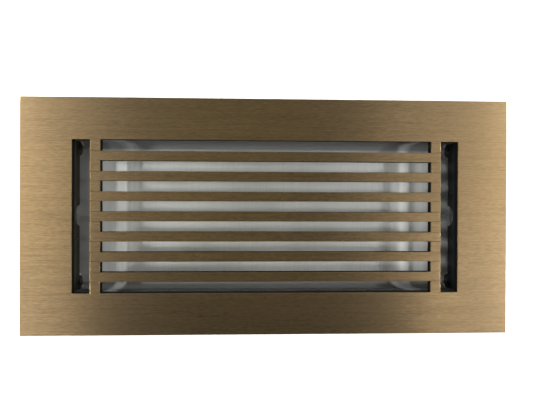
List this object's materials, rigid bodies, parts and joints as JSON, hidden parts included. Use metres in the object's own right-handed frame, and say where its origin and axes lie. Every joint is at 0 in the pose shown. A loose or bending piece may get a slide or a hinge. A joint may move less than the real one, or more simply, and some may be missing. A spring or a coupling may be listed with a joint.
{
  "type": "bar-type floor register",
  "caption": "Brushed antique brass air register: flat faceplate with a straight bar grille, a sheet collar that drops into the duct, and damper flaps that swing down.",
  "frame": {"origin": "centre of the collar's bottom rim, on the plane that the register stands on", "axes": "+X along the face towards its right end, +Y across the face towards its rear rail, +Z out of the face"},
  "size_m": [0.2954, 0.143, 0.028],
  "materials": {
    "antique_brass": "brushed antique brass, satin lacquer",
    "black_steel": "satin black",
    "zinc_sheet": "matte zinc-coated sheet",
    "plain_steel": "bright zinc"
  },
  "bodies": {
    "frame": {"rail_front": "antique_brass", "rail_rear": "antique_brass", "stile_left": "antique_brass", "stile_right": "antique_brass", "end_bar_left": "antique_brass", "end_bar_right": "antique_brass", "grille_bar_1": "antique_brass", "grille_bar_2": "antique_brass", "grille_bar_3": "antique_brass", "grille_bar_4": "antique_brass", "grille_bar_5": "antique_brass", "grille_bar_6": "antique_brass", "grille_bar_7": "antique_brass", "collar_front": "zinc_sheet", "collar_rear": "zinc_sheet", "collar_left": "zinc_sheet", "collar_right": "zinc_sheet", "damper_plate_left": "black_steel", "damper_plate_right": "black_steel", "bracket_left_front": "black_steel", "bracket_left_rear": "black_steel", "bracket_right_front": "black_steel", "bracket_right_rear": "black_steel", "pivot_pins": "black_steel", "plate_rivets": "black_steel", "friction_washers": "plain_steel", "bracket_screws": "plain_steel", "collar_rivets": "plain_steel"},
    "flap_front": {"flap_front": "zinc_sheet"},
    "flap_rear": {"flap_rear": "zinc_sheet"}
  },
  "joints": [
    {"name": "flap_front_hinge", "type": "hinge", "parent": "frame", "child": "flap_front", "pos_m": [0, -0.0424, 0.0131], "axis": [-1, 0, 0], "range_deg": [0, 88]},
    {"name": "flap_rear_hinge", "type": "hinge", "parent": "frame", "child": "flap_rear", "pos_m": [0, 0.0424, 0.0131], "axis": [1, 0, 0], "range_deg": [0, 88]}
  ]
}
